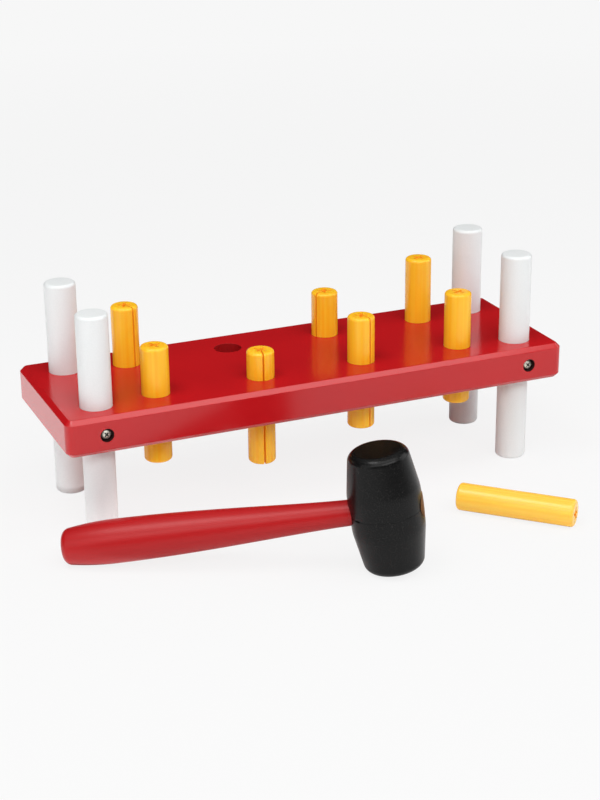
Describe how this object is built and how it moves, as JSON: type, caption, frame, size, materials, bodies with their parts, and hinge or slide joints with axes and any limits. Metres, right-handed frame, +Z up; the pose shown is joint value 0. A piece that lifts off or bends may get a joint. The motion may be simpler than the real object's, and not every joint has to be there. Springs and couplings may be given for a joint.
{
  "type": "peg pounding bench",
  "caption": "Toy pounding bench: red chamfered plank on white dowel legs, split yellow pegs hammered through its holes, and a mallet with a barrel-shaped rubber head.",
  "frame": {"origin": "on the floor under the middle of the bounding box of the whole set: bench, mallet and loose peg", "axes": "+X along the plank to the right, +Y to the back row of pegs, +Z up"},
  "size_m": [0.2806, 0.1857, 0.113],
  "materials": {
    "red_lacquer_plank": "satin red lacquer on solid wood",
    "white_lacquer_legs": "satin white lacquer on a dowel",
    "screw_steel": "zinc-plated steel",
    "peg_plastic": "extruded yellow plastic with a soft gloss",
    "red_lacquer_handle": "satin red lacquer on turned wood, bare at the tenon's end",
    "head_rubber": "moulded black rubber, matt"
  },
  "bodies": {
    "bench": {"bench_plank": "red_lacquer_plank", "leg_front_left": "white_lacquer_legs", "leg_front_right": "white_lacquer_legs", "leg_back_left": "white_lacquer_legs", "leg_back_right": "white_lacquer_legs", "leg_screws": "screw_steel"},
    "peg_front_1": {"peg_front_1": "peg_plastic"},
    "peg_front_2": {"peg_front_2": "peg_plastic"},
    "peg_front_3": {"peg_front_3": "peg_plastic"},
    "peg_front_4": {"peg_front_4": "peg_plastic"},
    "peg_back_1": {"peg_back_1": "peg_plastic"},
    "peg_back_3": {"peg_back_3": "peg_plastic"},
    "peg_back_4": {"peg_back_4": "peg_plastic"},
    "loose_peg": {"peg_back_2": "peg_plastic"},
    "mallet": {"mallet_handle": "red_lacquer_handle", "mallet_head": "head_rubber"}
  },
  "joints": [
    {"name": "peg_front_1_slide", "type": "slide", "parent": "bench", "child": "peg_front_1", "axis": [0, 0, 1], "range_m": [-0.0249, 0.0161]},
    {"name": "peg_front_2_slide", "type": "slide", "parent": "bench", "child": "peg_front_2", "axis": [0, 0, 1], "range_m": [-0.0142, 0.0268]},
    {"name": "peg_front_3_slide", "type": "slide", "parent": "bench", "child": "peg_front_3", "axis": [0, 0, 1], "range_m": [-0.0244, 0.0166]},
    {"name": "peg_front_4_slide", "type": "slide", "parent": "bench", "child": "peg_front_4", "axis": [0, 0, 1], "range_m": [-0.0294, 0.0116]},
    {"name": "peg_back_1_slide", "type": "slide", "parent": "bench", "child": "peg_back_1", "axis": [0, 0, 1], "range_m": [-0.0315, 0.0095]},
    {"name": "peg_back_3_slide", "type": "slide", "parent": "bench", "child": "peg_back_3", "axis": [0, 0, 1], "range_m": [-0.0239, 0.0171]},
    {"name": "peg_back_4_slide", "type": "slide", "parent": "bench", "child": "peg_back_4", "axis": [0, 0, 1], "range_m": [-0.0352, 0.0058]},
    {"name": "loose_peg_lift", "type": "slide", "parent": "bench", "child": "loose_peg", "axis": [0, 0, 1], "range_m": [0, 0.125]},
    {"name": "mallet_lift", "type": "slide", "parent": "bench", "child": "mallet", "axis": [0, 0, 1], "range_m": [0, 0.125]}
  ]
}
